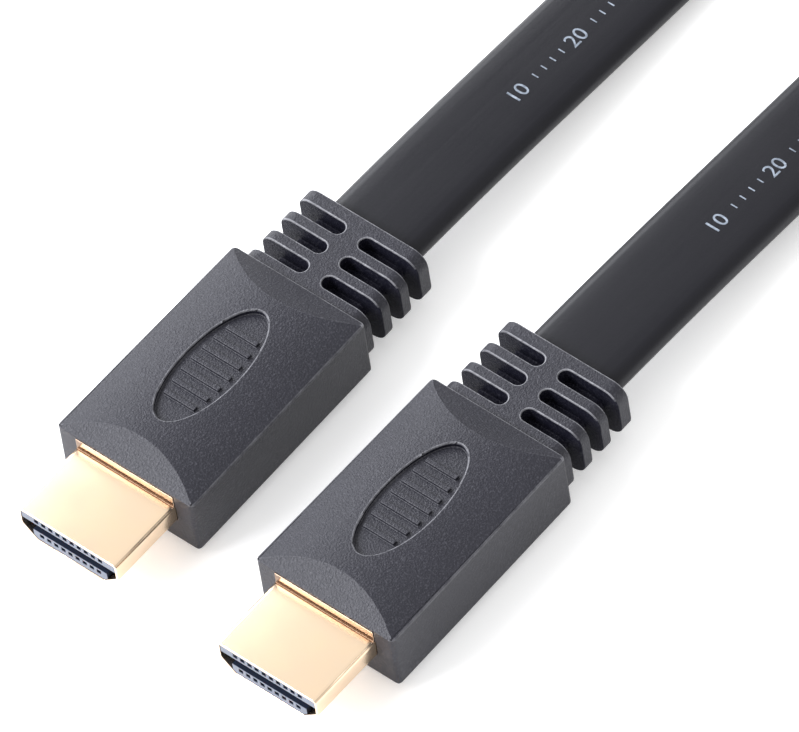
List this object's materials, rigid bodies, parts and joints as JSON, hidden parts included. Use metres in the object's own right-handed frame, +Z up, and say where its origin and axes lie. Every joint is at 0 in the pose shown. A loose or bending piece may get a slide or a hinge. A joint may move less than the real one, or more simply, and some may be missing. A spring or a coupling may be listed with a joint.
{
  "type": "flat hdmi cable",
  "caption": "Flat video lead with a gold plated plug, moulded body and comb strain relief on each end, the spare length folded into a tied hank.",
  "frame": {"origin": "midway between the two plugs, on the surface that they lie on", "axes": "+X across the two plugs, from plug a to plug b; +Y along the plugs, from their mouths towards the lead; +Z up"},
  "size_m": [0.0812, 0.3267, 0.0161],
  "materials": {
    "plated_shell": "bright gold plating",
    "carrier": "satin",
    "contacts": "plated",
    "moulded_body": "fine spark-eroded grain",
    "jacket": "satin",
    "tie": "woven loop tape"
  },
  "bodies": {
    "root": {"plug_a_shell": "plated_shell", "plug_b_shell": "plated_shell", "plug_a_carrier": "carrier", "plug_b_carrier": "carrier", "plug_a_contacts_upper": "contacts", "plug_a_contacts_lower": "contacts", "plug_b_contacts_upper": "contacts", "plug_b_contacts_lower": "contacts", "plug_a_body": "moulded_body", "plug_b_body": "moulded_body", "lead_a": "jacket", "lead_b": "jacket", "hank": "jacket", "tie_left": "tie", "tie_right": "tie"}
  },
  "joints": []
}
